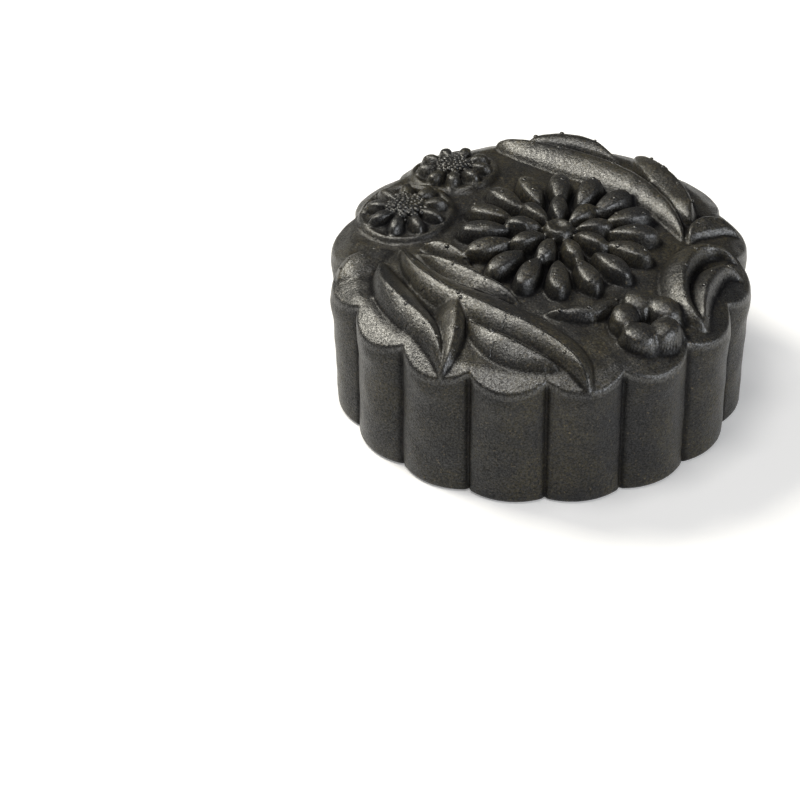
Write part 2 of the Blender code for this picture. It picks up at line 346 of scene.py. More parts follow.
def leaves():
    """The leaves round the rim, each along its own course from root to tip."""
    return [
        Ridge(((-26.2, 0.0), (-23.6, -19.5), (6.4, -24.5), (9.4, -38.8)), 4.4, 3.7,
              widest=0.55, crest=(-0.1, -0.2), blunt=0.6, slant=0.4, droop=0.5, shelf=0.55,
              rib=True),
        Ridge(((-24.6, -0.6), (-18.5, -7.4), (-11.6, -13.3), (-3.5, -17.4)), 2.4, 3.1,
              widest=0.62, crest=(0.5, 0.4), rib=True),
        Ridge(((-22.8, -0.2), (-19.5, -0.8), (-16.3, -2.4), (-13.2, -6.4)), 1.8, 2.5,
              crest=(0.3, 0.3)),
        Ridge(((-13.5, -22.0), (-11.3, -30.1), (-3.3, -33.2), (4.0, -35.3)), 2.9, 3.2,
              widest=0.55, crest=(0.5, 0.3), rib=True),
        Ridge(((-29.6, -4.8), (-30.1, -16.6), (-18.6, -23.5), (-18.3, -35.0)), 3.6, 3.5,
              widest=0.42, crest=(-0.6, 0.5), shelf=1.0),
        Ridge(((-15.8, -15.2), (-17.4, -21.6), (-14.9, -28.8), (-18.2, -35.4)), 3.0, 3.1,
              widest=0.32, crest=(0.35, 0.3), blunt=0.55, shelf=0.8),
        Ridge(((-27.5, -0.6), (-31.5, -1.4), (-34.8, -4.4), (-38.2, -7.6)), 3.7, 1.6,
              widest=0.58, crest=(-0.4, -0.4), blunt=0.6, slant=0.6, droop=0.3, shelf=1.0),
        Ridge(((37.2, -0.4), (25.5, 7.9), (20.6, -17.2), (31.2, -21.6)), 3.1, 3.7,
              crest=(0.62, 0.5), blunt=0.6, slant=0.5, shelf=0.5),
        Ridge(((38.2, -4.6), (30.6, -1.9), (28.4, -15.6), (31.3, -21.4)), 2.6, 3.4,
              widest=0.45, crest=(0.5, 0.4), slant=0.5, shelf=0.5),
        Ridge(((28.3, 3.4), (28.4, 8.0), (32.6, 10.4), (38.0, 9.2)), 2.3, 2.7,
              widest=0.55, crest=(0.45, 0.45), slant=0.2),
        Ridge(((-9.2, 36.2), (3.0, 28.0), (21.5, 24.0), (27.0, 4.5)), 3.7, 3.3,
              widest=0.45, crest=(0.6, 0.45), blunt=0.55, slant=0.12, droop=0.7, keen=2.0,
              rib=True),
        Ridge(((-3.4, 34.9), (3.0, 38.6), (9.8, 34.4), (15.0, 29.6)), 2.5, 3.0,
              widest=0.42, crest=(0.5, 0.5), slant=0.15),
        Ridge(((18.0, 32.2), (21.3, 24.0), (27.0, 17.5), (28.2, 9.5)), 2.9, 3.5,
              crest=(0.75, 0.75), blunt=0.5, slant=0.08, droop=0.3),
        Ridge(((15.8, -15.0), (12.0, -20.6), (6.0, -21.4), (0.6, -20.2)), 1.9, 2.4,
              widest=0.45, slant=0.2),
    ]


# The flower in the middle, in shares of its radius or in millimetres
FLOWER_CENTRE = (3.4, 3.2)
OUTER_ROOT, OUTER_HEIGHT, OUTER_FILL = 0.46, 3.5, 0.86 * 0.8
INNER_ROOT, INNER_HEIGHT, INNER_FILL = 2.6, 3.8, 0.9 * 0.66
INNER_TIP = 0.56
INNER_TURN = math.radians(11.0)
EYE_RADII, EYE_HEIGHT, EYE_EDGE = (3.3, 3.3), 3.5, 1.4
EYE_PIT, EYE_PIT_SPREAD = 0.8, 1.6

# The oval blossoms: centre, radii and turn of each, and their common parts
MEDALLIONS = (((-25.8, 11.4), (9.3, 9.6), 0.2), ((-17.0, 25.6), (8.6, 7.6), 0.5))
PLATE_HEIGHT, PLATE_EDGE, PLATE_FLAT = 0.9, 0.8, 0.9
BORDER_HEIGHT, BORDER_SHARE, BORDER_WIDTH = 1.35, 0.92, 0.75
BLOSSOM_ROOT, BLOSSOM_TIP, BLOSSOM_HALF, BLOSSOM_HEIGHT = 1.8, 0.88, 1.75, 3.0
PAD_SHARE, PAD_HEIGHT, PAD_EDGE = 0.42, 3.2, 1.6

# The round boss
BOSS_CENTRE = (20.0, -22.2)
BOSS_RADII = (6.9, 8.2)
BOSS_PETALS = 5
BOSS_ROOT, BOSS_HALF, BOSS_HEIGHT, BOSS_FILLET = 1.0, 4.2, 3.8, 1.1
BOSS_TURN = math.radians(36.0)

# Sections of the petals
PETAL_LOOK = {"widest": 0.6, "blunt": 0.42, "slant": 0.05, "droop": 0.36, "keen": 3.4,
              "shelf": 1.0, "brink": 0.8}
BOSS_LOOK = {"widest": 0.58, "blunt": 0.42, "slant": 0.1, "droop": 0.3, "keen": 2.4,
             "shelf": 1.0, "brink": 1.5}

# Short cracks in the crests, each from one end to the other, and how they wander
CRACK_REACH, CRACK_WOBBLE, CRACK_WAVE = 0.7, 0.16, 5.0
CRACKS = (
    ((-8.2, -30.1), (-9.1, -33.0)),
    ((-6.0, -24.0), (-6.8, -26.5)),
    ((34.5, -7.2), (35.0, -11.8)),
    ((-22.4, -13.6), (-21.2, -14.8)),
    ((6.5, 27.8), (7.3, 26.2)),
)


def add_cracks(x, y, rib):
    """Lay the cracks into the rib distance, which is drawn as thin lines of painted shade over a
    bump groove.
    """
    for start, end in CRACKS:
        run = np.subtract(end, start)
        length = math.hypot(*run)
        along = ((x - start[0]) * run[0] + (y - start[1]) * run[1]) / length
        off = ((y - start[1]) * run[0] - (x - start[0]) * run[1]) / length
        inside = (along > 0.0) & (along < length) & (np.abs(off) < CRACK_REACH)
        wobble = CRACK_WOBBLE * np.sin(CRACK_WAVE * along)
        rib[inside] = (off + wobble)[inside]


def dome(x, y, centre, radii, height, edge, flat):
    """Height of an oval button with a round edge of a given width."""
    ring = np.hypot((x - centre[0]) / radii[0], (y - centre[1]) / radii[1])
    inside = (1.0 - ring) * min(radii)
    shape = np.sqrt(np.clip(1.0 - (1.0 - np.clip(inside / edge, 0.0, 1.0)) ** 2, 0.0, 1.0))
    return height * shape * (1.0 - (1.0 - flat) * np.clip(ring, 0.0, 1.0) ** 2)


def relief_at(cake, sizes, x, y):
    """Relief height above the plain top, and signed distance to the nearest leaf rib."""
    relief = np.zeros_like(x)
    rib = np.full_like(x, FAR_FROM_RIB)
    for centre, radii, turn in MEDALLIONS:
        plate = dome(x, y, centre, radii, PLATE_HEIGHT, PLATE_EDGE, PLATE_FLAT)
        ring = np.hypot((x - centre[0]) / radii[0], (y - centre[1]) / radii[1])
        border = np.exp(-((ring - BORDER_SHARE) * min(radii) / BORDER_WIDTH) ** 2)
        relief = blend_max(blend_max(plate, BORDER_HEIGHT * border, 0.3), relief, 0.2)
        reach = (BLOSSOM_TIP * radii[0], BLOSSOM_TIP * radii[1])
        for petal in petals(centre, sizes.medallion_petals, BLOSSOM_ROOT, reach,
                            BLOSSOM_HALF, BLOSSOM_HEIGHT, turn, **PETAL_LOOK):
            petal.raise_on(x, y, relief, rib)
        pad = (PAD_SHARE * radii[0], PAD_SHARE * radii[1])
        relief = blend_max(dome(x, y, centre, pad, PAD_HEIGHT, PAD_EDGE, 1.0), relief, 0.3)
    radius = sizes.flower_radius / MM
    inner_tip = INNER_TIP * radius
    outer_half = OUTER_FILL * math.pi * radius / sizes.outer_petals
    inner_half = INNER_FILL * math.pi * inner_tip / sizes.inner_petals
    rings = petals(FLOWER_CENTRE, sizes.outer_petals, OUTER_ROOT * radius, (radius, radius),
                   outer_half, OUTER_HEIGHT, **PETAL_LOOK)
    rings += petals(FLOWER_CENTRE, sizes.inner_petals, INNER_ROOT, (inner_tip, inner_tip),
                    inner_half, INNER_HEIGHT, INNER_TURN, **PETAL_LOOK)
    for petal in rings:
        petal.raise_on(x, y, relief, rib)
    for petal in petals(BOSS_CENTRE, BOSS_PETALS, BOSS_ROOT, BOSS_RADII,
                        BOSS_HALF, BOSS_HEIGHT, BOSS_TURN, **BOSS_LOOK):
        petal.raise_on(x, y, relief, rib, BOSS_FILLET)
    eye = dome(x, y, FLOWER_CENTRE, EYE_RADII, EYE_HEIGHT, EYE_EDGE, 1.0)
    away = (x - FLOWER_CENTRE[0]) ** 2 + (y - FLOWER_CENTRE[1]) ** 2
    relief = blend_max(eye - EYE_PIT * np.exp(-away / EYE_PIT_SPREAD), relief, 0.3)
    for leaf in leaves():
        leaf.raise_on(x, y, relief, rib)
    add_cracks(x, y, rib)
    return relief * sizes.depth, rib


# The dough's unevenness on the top and the side: its two wavelengths, the share of the
# short waves, and a seed for each
LONG_WAVE, SHORT_WAVE, SHORT_SHARE = 14.0, 3.5, 0.35
SIDE_LONG_WAVE, SIDE_SHORT_WAVE, SIDE_SHORT_SHARE = 17.0, 5.0, 0.4
LONG_SEED, SHORT_SEED, SIDE_LONG_SEED, SIDE_SHORT_SEED = 3, 4, 5, 6

# Radii between which the shoulder gains its sheen, and relief height that has all of it
SHOULDER_SHEEN = (35.5, 37.5)
SHINY_HEIGHT = 2.0

# Depth below the surroundings at which a hollow gets its full painted shade
HOLLOW_SHADE_DEPTH = 0.4


def top_height(cake, sizes, x, y):
    """Height of the finished top in millimetres, its rib distance and its relief alone."""
    relief, rib = relief_at(cake, sizes, x, y)
    uneven = cake.unevenness / MM
    base = field_height(cake, x, y)
    sway = uneven * ripple(x, y, 0.0 * x, LONG_WAVE, LONG_SEED)
    sway = sway + SHORT_SHARE * uneven * ripple(x, y, 0.0 * x, SHORT_WAVE, SHORT_SEED)
    return base + relief + sway, rib, relief


def square_ring_angle(i, j):
    """Angle of a grid point whose square ring is mapped evenly to a circle."""
    if abs(i) >= abs(j):
        turn = 0.0 if i >= 0 else math.pi
        return turn + (math.pi / 4.0) * (j / i if i else 0.0)
    turn = 0.5 * math.pi if j > 0 else -0.5 * math.pi
    return turn - (math.pi / 4.0) * (i / j)


def ring_share(ring, radius):
    """Share of the outline's radius for each ring, with the last rings close at the lip."""
    if ring <= TOP_RINGS - LIP_RINGS:
        return ring / (TOP_RINGS - LIP_RINGS) * (radius - LIP_BAND) / radius
    return (radius - LIP_BAND * (TOP_RINGS - ring) / LIP_RINGS) / radius


def top_points(cake, sizes):
    """Grid of points of the top, with the rib distances, the shares of painted shade in its
    hollows, and sheen.
    """
    size = 2 * TOP_RINGS + 1
    angle = np.zeros((size, size))
    share = np.zeros((size, size))
    nominal = cake.groove_radius / MM
    for a in range(size):
        for b in range(size):
            i, j = a - TOP_RINGS, b - TOP_RINGS
            angle[a, b] = square_ring_angle(i, j)
            share[a, b] = ring_share(max(abs(i), abs(j)), nominal)
    angle, share = angle.ravel(), share.ravel()
    outline = lobed_radius(cake, angle, cake.crown_radius / MM, cake.groove_radius / MM)
    x = outline * share * np.cos(angle)
    y = outline * share * np.sin(angle)
    z, rib, relief = top_height(cake, sizes, x, y)
    shoulder = soft_step(*SHOULDER_SHEEN, np.hypot(x, y))
    rubbed = np.maximum(np.clip(relief / SHINY_HEIGHT, 0.0, 1.0), shoulder)
    sheen = 1.0 - cake.field_dullness * (1.0 - rubbed)
    z = soften(z)
    hollow_shade = hollow_shade_share(z)
    lip = cake.lip_round / MM
    inset = outline * (1.0 - share)
    bend = np.clip(1.0 - inset / lip, 0.0, 1.0)
    z = z - lip * (1.0 - np.sqrt(1.0 - bend ** 2))
    return np.stack([x, y, z], 1), rib, hollow_shade, sheen


def soften(z):
    """Blend each height of the top with its neighbours, as dough blurs a mould."""
    size = 2 * TOP_RINGS + 1
    grid = z.reshape(size, size)
    padded = np.pad(grid, 1, mode="edge")
    along = (padded[:-2] + 2.0 * padded[1:-1] + padded[2:]) / 4.0
    return ((along[:, :-2] + 2.0 * along[:, 1:-1] + along[:, 2:]) / 4.0).ravel()


def hollow_shade_share(z):
    """How deep each point of the top lies below its surroundings, from 0 to 1, as the share of
    painted shade in its hollows.
    """
    size = 2 * TOP_RINGS + 1
    grid = z.reshape(size, size)
    spread = grid
    reach = 2
    for _ in range(2):
        padded = np.pad(spread, reach, mode="edge")
        spread = sum(padded[a:a + size, b:b + size]
                     for a in range(2 * reach + 1) for b in range(2 * reach + 1))
        spread = spread / (2 * reach + 1) ** 2
    return np.clip((spread - grid).ravel() / HOLLOW_SHADE_DEPTH, 0.0, 1.0)


def edge_loop():
    """Indices of the grid's outer loop, once round."""
    size = 2 * TOP_RINGS + 1
    last = size - 1
    loop = [last * size + b for b in range(size)]
    loop += [a * size + last for a in range(last - 1, -1, -1)]
    loop += [b for b in range(last - 1, -1, -1)]
    loop += [a * size for a in range(1, last)]
    return loop


# The side's grooves: widths of the cut and of its shade, and depth of that shade
CUT_WIDTH, SHADE_WIDTH, SHADE_DEPTH = 0.38, 1.0, 0.6
# Drops below the lip over which the grooves, the dull finish and the unevenness come in
GROOVE_RUN, DULL_RUN, STRAY_RUN = 1.5, 0.5, 2.0
# The swell below the lip and the waist under it: drop and spread of each
SWELL_DROP, SWELL_SPREAD = 2.6, 1.9
WAIST_SHARE, WAIST_DROP, WAIST_SPREAD = 0.4, 7.5, 2.6
FOOT_STRAY_RUN = 3.0


def wall_points(cake, rim):
    """Rings of points from the lip down the side, round the foot and in under the cake."""
    angle = np.arctan2(rim[:, 1], rim[:, 0])
    lip_z = rim[:, 2]
    foot = cake.foot_round / MM
    uneven = cake.unevenness / MM
    half_pitch = math.pi / cake.lobes
    rings, hollow_shades, sheens = [], [], []
    crown_lean = cake.crown_radius - cake.foot_crown_radius
    groove_lean = cake.groove_radius - cake.foot_groove_radius
    for k in range(1, WALL_RINGS + 1):
        rise = 1.0 - k / WALL_RINGS
        crown = (cake.foot_crown_radius + crown_lean * rise) / MM
        groove = (cake.foot_groove_radius + groove_lean * rise) / MM
        radius = lobed_radius(cake, angle, crown, groove)
        z = foot + (lip_z - foot) * rise
        below = lip_z - z
        out = np.clip((radius - groove) / (crown - groove), 0.0, 1.0)
        apart = (angle - cake.first_groove + half_pitch) % (2.0 * half_pitch) - half_pitch
        begun = np.clip(below / GROOVE_RUN, 0.0, 1.0)
        cut = np.exp(-(apart * radius / CUT_WIDTH) ** 2) * begun
        radius = radius - cake.groove_cut / MM * cut
        # Painted shade along each groove of the side, strongest at the groove's line
        hollow_shades.append(SHADE_DEPTH * np.exp(-(apart * radius / SHADE_WIDTH) ** 2) * begun)
        sheens.append(1.0 - cake.side_dullness * np.clip(below / DULL_RUN, 0.0, 1.0))
        swell = np.exp(-((below - SWELL_DROP) / SWELL_SPREAD) ** 2)
        swell = swell - WAIST_SHARE * np.exp(-((below - WAIST_DROP) / WAIST_SPREAD) ** 2)
        radius = radius + cake.bulge / MM * swell * out
        x, y = radius * np.cos(angle), radius * np.sin(angle)
        fade = np.clip(below / STRAY_RUN, 0.0, 1.0) * np.clip((z - foot) / FOOT_STRAY_RUN, 0.0, 1.0)
        stray = uneven * ripple(x, y, z, SIDE_LONG_WAVE, SIDE_LONG_SEED)
        short = ripple(x, y, z, SIDE_SHORT_WAVE, SIDE_SHORT_SEED)
        stray = stray + SIDE_SHORT_SHARE * uneven * short
        grow = 1.0 + stray * fade / radius
        rings.append(np.stack([x * grow, y * grow, z], 1))
    base = rings[-1]
    size = np.hypot(base[:, 0], base[:, 1])
    for k in range(1, FOOT_RINGS + 1):
        turn = 0.5 * math.pi * k / FOOT_RINGS
        shrink = (size - foot * (1.0 - math.cos(turn))) / size
        z = np.full(len(size), foot * (1.0 - math.sin(turn)))
        rings.append(np.stack([base[:, 0] * shrink, base[:, 1] * shrink, z], 1))
        hollow_shades.append(hollow_shades[-1])
        sheens.append(sheens[-1])
    rings.append(rings[-1] * np.array((UNDERSIDE_SHARE, UNDERSIDE_SHARE, 1.0)))
    hollow_shades.append(np.zeros(len(size)))
    sheens.append(sheens[-1])
    return rings, hollow_shades, sheens


def skin_mesh(cake, sizes):
    """The whole closed skin, with its ribs, painted hollow shade and sheen as attributes."""
    top, rib, hollow_shade, shine = top_points(cake, sizes)
    size = 2 * TOP_RINGS + 1
    loop = edge_loop()
    rings, hollow_shades, sheens = wall_points(cake, top[loop])
    points = [top] + rings + [np.zeros((1, 3))]
    corners = np.concatenate(points) * MM
    faces = []
    for a in range(size - 1):
        for b in range(size - 1):
            here = a * size + b
            faces.append((here, here + size, here + size + 1, here + 1))
    count = len(loop)
    previous = loop
    start = len(top)
    for _ in rings:
        current = list(range(start, start + count))
        for i in range(count):
            j = (i + 1) % count
            faces.append((previous[j], previous[i], current[i], current[j]))
        previous = current
        start += count
    middle = len(corners) - 1
    for i in range(count):
        faces.append((previous[(i + 1) % count], previous[i], middle))
    mesh = bpy.data.meshes.new("cake_skin")
    mesh.from_pydata(corners.tolist(), [], faces)
    mesh.shade_smooth()
    ribs = np.full(len(corners), FAR_FROM_RIB)
    ribs[:len(rib)] = rib
    hollow_shade_values = np.concatenate([hollow_shade] + hollow_shades + [np.zeros(1)])
    sheen = np.concatenate([shine] + sheens + [np.ones(1)])
    for name, values in (("rib_distance", ribs), ("hollow_shade", hollow_shade_values), ("sheen", sheen)):
        layer = mesh.attributes.new(name, "FLOAT", "POINT")
        layer.data.foreach_set("value", values.astype(np.float32))
    mesh.validate()
    mesh.update()
    return mesh


def link_new(name, mesh):
    """Put a mesh in the scene at the origin."""
    item = bpy.data.objects.new(name, mesh)
    bpy.context.scene.collection.objects.link(item)
    return item


class NodeBuilder:
    """Short calls for building a shader tree."""

    def __init__(self, tree):
        self.tree = tree

    def add(self, kind, inputs=None, **settings):
        """Add a node, set its fields, and set or link its inputs."""
        node = self.tree.nodes.new(kind)
        for key, value in settings.items():
            setattr(node, key, value)
        for key, value in (inputs or {}).items():
            if isinstance(value, bpy.types.NodeSocket):
                self.tree.links.new(value, node.inputs[key])
            else:
                node.inputs[key].default_value = value
        return node

    def math(self, operation, first, second=0.0):
        """Add a math node and return its result."""
        return self.add("ShaderNodeMath", {0: first, 1: second}, operation=operation).outputs[0]

    def span(self, value, low, high, to_low=0.0, to_high=1.0):
        """Map a range smoothly to another one."""
        node = self.add("ShaderNodeMapRange", {
            "Value": value, "From Min": low, "From Max": high,
            "To Min": to_low, "To Max": to_high}, interpolation_type="SMOOTHSTEP")
        return node.outputs["Result"]

    def noise(self, place, scale, detail=2.0, roughness=0.5):
        """Add a noise texture and return its factor."""
        node = self.add("ShaderNodeTexNoise", {
            "Vector": place, "Scale": scale, "Detail": detail, "Roughness": roughness})
        return node.outputs["Fac"]

    def mix(self, share, first, second):
        """Mix two colours."""
        node = self.add("ShaderNodeMix", data_type="RGBA")
        for socket, value in zip((node.inputs[0], node.inputs[6], node.inputs[7]),
                                 (share, first, second)):
            if isinstance(value, bpy.types.NodeSocket):
                self.tree.links.new(value, socket)
            else:
                socket.default_value = value
        return node.outputs[2]


# Near-black tones: the pores' dark pits, and the painted shade in the creases and in the hollows
PORE_BLACK = (0.012, 0.012, 0.012, 1.0)
CREASE_SHADE_BLACK = (0.008, 0.008, 0.008, 1.0)
HOLLOW_SHADE_BLACK = (0.006, 0.006, 0.007, 1.0)


def dough_material(name, skin, ribbed):
    """Baked charcoal dough: toasted patches, crumb specks, fine grain and small pores; when ribbed,
    also painted shade in its creases and hollows.
    """
    material = bpy.data.materials.new(name)
    material.use_nodes = True
    tree = material.node_tree
    tree.nodes.clear()
    build = NodeBuilder(tree)
    place = build.add("ShaderNodeTexCoord").outputs["Object"]
    patches = build.noise(place, 85.0, 4.0, 0.6)
    mottle = build.noise(place, 1700.0, 4.0, 0.7)
    specks = build.noise(place, 1900.0, 2.0, 0.5)
    grain = build.noise(place, 2600.0, 4.0, 0.7)
    toast = build.math("MULTIPLY", build.span(patches, 0.36, 0.66), build.span(mottle, 0.34, 0.72))
    colour = build.mix(toast, tuple(skin.charcoal), tuple(skin.toasted))
    fleck = build.math("MULTIPLY", build.span(specks, 0.6, 0.72), build.span(mottle, 0.4, 0.65))
    colour = build.mix(build.math("MULTIPLY", fleck, 0.75), colour, tuple(skin.crumb))
    pores = build.add("ShaderNodeTexVoronoi", {"Vector": place, "Scale": 900.0},
                      feature="F1").outputs["Distance"]
    pit = build.math("MULTIPLY", build.span(pores, 0.16, 0.05), build.span(mottle, 0.5, 0.62))
    colour = build.mix(pit, colour, PORE_BLACK)
    rough_grain = build.math("MULTIPLY", grain, 0.6)
    height = build.math("ADD", rough_grain, build.math("MULTIPLY", specks, 0.5))
    height = build.math("SUBTRACT", height, build.math("MULTIPLY", pit, 1.2))
    glints = build.noise(place, 2800.0, 3.0, 0.8)
    gloss = build.span(glints, 0.36, 0.66, 0.3, 1.55)
    if ribbed:
        # Ribs and cracks: a bump groove, with painted shade along the line
        line = build.add("ShaderNodeAttribute", attribute_name="rib_distance").outputs["Fac"]
        cut = build.span(build.math("ABSOLUTE", line), 0.16, 0.04)
        colour = build.mix(build.math("MULTIPLY", cut, 0.8), colour, CREASE_SHADE_BLACK)
        height = build.math("SUBTRACT", height, build.math("MULTIPLY", cut, 2.0))
        # Painted shade in the hollows and the side's grooves: darker colour and weaker reflection
        hollow_shade_mask = build.add("ShaderNodeAttribute", attribute_name="hollow_shade").outputs["Fac"]
        colour = build.mix(build.math("MULTIPLY", hollow_shade_mask, 0.85), colour, HOLLOW_SHADE_BLACK)
        gloss = build.math("MULTIPLY", gloss, build.span(hollow_shade_mask, 0.0, 1.0, 1.0, 0.15))
        sheen = build.add("ShaderNodeAttribute", attribute_name="sheen").outputs["Fac"]
        gloss = build.math("MULTIPLY", gloss, sheen)
    bump = build.add("ShaderNodeBump", {
        "Height": height, "Strength": 1.0, "Distance": skin.grain})
    rough = build.span(mottle, 0.25, 0.75, skin.roughness - 0.07, skin.roughness + 0.1)
    shader = build.add("ShaderNodeBsdfPrincipled", {
        "Base Color": colour, "Roughness": rough, "Normal": bump.outputs["Normal"],
        "Specular IOR Level": gloss})
    output = build.add("ShaderNodeOutputMaterial")
    tree.links.new(shader.outputs[0], output.inputs["Surface"])
    return material


def bead_tree(name):
    """Geometry Nodes that set a low round bead on every point of a mesh."""
    tree = bpy.data.node_groups.new(name, "GeometryNodeTree")
    face = tree.interface
    face.new_socket("Geometry", in_out="INPUT", socket_type="NodeSocketGeometry")
    for label, default in (("Radius", 0.0005), ("Flatness", 0.8), ("Spread", 0.3)):
        socket = face.new_socket(label, in_out="INPUT", socket_type="NodeSocketFloat")
        socket.default_value = default
    face.new_socket("Seed", in_out="INPUT", socket_type="NodeSocketInt")
    face.new_socket("Material", in_out="INPUT", socket_type="NodeSocketMaterial")
    face.new_socket("Geometry", in_out="OUTPUT", socket_type="NodeSocketGeometry")
    build = NodeBuilder(tree)
    start = build.add("NodeGroupInput").outputs
    ball = build.add("GeometryNodeMeshIcoSphere", {"Radius": start["Radius"], "Subdivisions": 2})
    squash = build.add("ShaderNodeCombineXYZ", {"X": 1.0, "Y": 1.0, "Z": start["Flatness"]})
    flat = build.add("GeometryNodeTransform", {
        "Geometry": ball.outputs["Mesh"], "Scale": squash.outputs[0]})
    low = build.math("SUBTRACT", 1.0, start["Spread"])
    high = build.math("ADD", 1.0, start["Spread"])
    size = build.add("FunctionNodeRandomValue", data_type="FLOAT")
    links = tree.links
    links.new(low, size.inputs[2])
    links.new(high, size.inputs[3])
    links.new(start["Seed"], size.inputs["Seed"])
    points = build.add("GeometryNodeMeshToPoints", {"Mesh": start["Geometry"]})
    place = build.add("GeometryNodeInstanceOnPoints", {
        "Points": points.outputs["Points"], "Instance": flat.outputs["Geometry"],
        "Scale": size.outputs[1]})
    real = build.add("GeometryNodeRealizeInstances", {"Geometry": place.outputs[0]})
    smooth = build.add("GeometryNodeSetShadeSmooth", {"Geometry": real.outputs[0]})
    coat = build.add("GeometryNodeSetMaterial", {
        "Geometry": smooth.outputs[0], "Material": start["Material"]})
    end = build.add("NodeGroupOutput")
    links.new(coat.outputs[0], end.inputs[0])
    return tree


def set_beads(name, points, values):
    """Make one plain mesh of beads on the given points."""
    cloud = bpy.data.meshes.new(name + "_points")
    cloud.from_pydata([tuple(p) for p in points], [], [])
    item = link_new(name, cloud)
    tree = bead_tree(name + "_nodes")
    modifier = item.modifiers.new("beads", "NODES")
    modifier.node_group = tree
    for socket in tree.interface.items_tree:
        if socket.in_out == "INPUT" and socket.name in values:
            modifier[socket.identifier] = values[socket.name]
    item.update_tag()
    graph = bpy.context.evaluated_depsgraph_get()
    mesh = bpy.data.meshes.new_from_object(item.evaluated_get(graph))
    item.modifiers.remove(modifier)
    item.data = mesh
    mesh.name = name
    bpy.data.meshes.remove(cloud)
    return item


def settle(item):
    """Say what a finished piece rides on."""
    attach(item, BODY)


def on_top(cake, sizes, x, y, sink):
    """Points on the finished top, sunk a little, in metres."""
    z, _, _ = top_height(cake, sizes, x, y)
    return np.stack([x, y, z - sink], 1) * MM


# Nubs on even and odd petals, as shares of the flower's radius, and how far they stray
PETAL_NUBS = ((0.78,), (0.88, 0.66))
PETAL_STRAY, PETAL_BEND = 0.04, 0.06
# Nubs along a leaf: span of its course, gap on a leaf of unit half width, and places across
LEAF_SPAN, LEAF_GAP, LEAF_STRAY = (0.15, 0.95), 0.64, 0.04
LEAF_ACROSS, LEAF_HOLD = (-0.25, 0.2), 0.8
NUB_SEED = 11


def nub_places(sizes):
    """Plan places of the vent nubs: along petals and leaf crests."""
    random = np.random.default_rng(NUB_SEED)
    places = []
    radius = sizes.flower_radius / MM
    for i in range(sizes.outer_petals):
        angle = 2.0 * math.pi * i / sizes.outer_petals
        for share in PETAL_NUBS[i % 2]:
            far = radius * (share + random.uniform(-PETAL_STRAY, PETAL_STRAY))
            bend = angle + random.uniform(-PETAL_BEND, PETAL_BEND)
            places.append((FLOWER_CENTRE[0] + far * math.cos(bend),
                           FLOWER_CENTRE[1] + far * math.sin(bend)))
    for leaf in leaves():
        spine = leaf.spine(60)
        run = np.gradient(spine, axis=0)
        run /= np.linalg.norm(run, axis=1)[:, None]
        for share in np.arange(*LEAF_SPAN, LEAF_GAP / leaf.half_width):
            k = int((share + random.uniform(-LEAF_STRAY, LEAF_STRAY)) * (len(spine) - 1))
            crest = leaf.crest[0] + (leaf.crest[1] - leaf.crest[0]) * share
            off = leaf.half_width * (crest + random.uniform(*LEAF_ACROSS)) * LEAF_HOLD
            places.append((spine[k, 0] - run[k, 1] * off, spine[k, 1] + run[k, 0] * off))
    return np.array(places)


# Beads in each oval blossom's eye: count, reach as a share of its radii, and scatter
BEAD_COUNT, BEAD_REACH, BEAD_STRAY, BEAD_SEED = 64, 0.44, 0.06, 7

# How far nubs and beads are sunk into the skin
NUB_SINK, BEAD_SINK = 0.12, 0.1


def bead_places():
    """Plan places of the beads that crowd the eyes of the oval blossoms."""
    random = np.random.default_rng(BEAD_SEED)
    golden = math.pi * (3.0 - math.sqrt(5.0))
    places = []
    for centre, radii, turn in MEDALLIONS:
        for i in range(BEAD_COUNT):
            far = BEAD_REACH * math.sqrt((i + 0.5) / BEAD_COUNT)
            angle = turn + golden * i
            x = centre[0] + far * radii[0] * math.cos(angle) + random.normal(0.0, BEAD_STRAY)
            y = centre[1] + far * radii[1] * math.sin(angle) + random.normal(0.0, BEAD_STRAY)
            places.append((x, y))
    return np.array(places)


class MOONCAKE_OT_skin(bpy.types.Operator):
    """Build the cake's closed skin with its relief"""

    bl_idname = "mooncake.skin"
    bl_label = "Cake Skin"

    def execute(self, context):
        scene = context.scene
        item = link_new("cake_skin", skin_mesh(scene.mooncake_cake, scene.mooncake_relief))
        item.data.materials.append(dough_material("charcoal_dough", scene.mooncake_skin, True))
        settle(item)
        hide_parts(NODE)
        return {"FINISHED"}


class MOONCAKE_OT_nubs(bpy.types.Operator):
    """Set the vent nubs on the relief"""

    bl_idname = "mooncake.nubs"
    bl_label = "Vent Nubs"

    def execute(self, context):
        scene = context.scene
        sizes = scene.mooncake_relief
        places = nub_places(sizes)
        points = on_top(scene.mooncake_cake, sizes, places[:, 0], places[:, 1], NUB_SINK)
        item = set_beads("vent_nubs", points, {
            "Radius": sizes.nub_size, "Flatness": 0.75, "Spread": 0.25, "Seed": 3,
            "Material": dough_material("nub_dough", scene.mooncake_skin, False)})
        settle(item)
        return {"FINISHED"}


class MOONCAKE_OT_beads(bpy.types.Operator):
    """Crowd the eyes of the oval blossoms with beads"""

    bl_idname = "mooncake.beads"
    bl_label = "Blossom Beads"

    def execute(self, context):
        scene = context.scene
        sizes = scene.mooncake_relief
        places = bead_places()
        points = on_top(scene.mooncake_cake, sizes, places[:, 0], places[:, 1], BEAD_SINK)
        item = set_beads("blossom_beads", points, {
            "Radius": sizes.bead_size, "Flatness": 0.9, "Spread": 0.3, "Seed": 5,
            "Material": dough_material("bead_dough", scene.mooncake_skin, False)})
        settle(item)
        return {"FINISHED"}


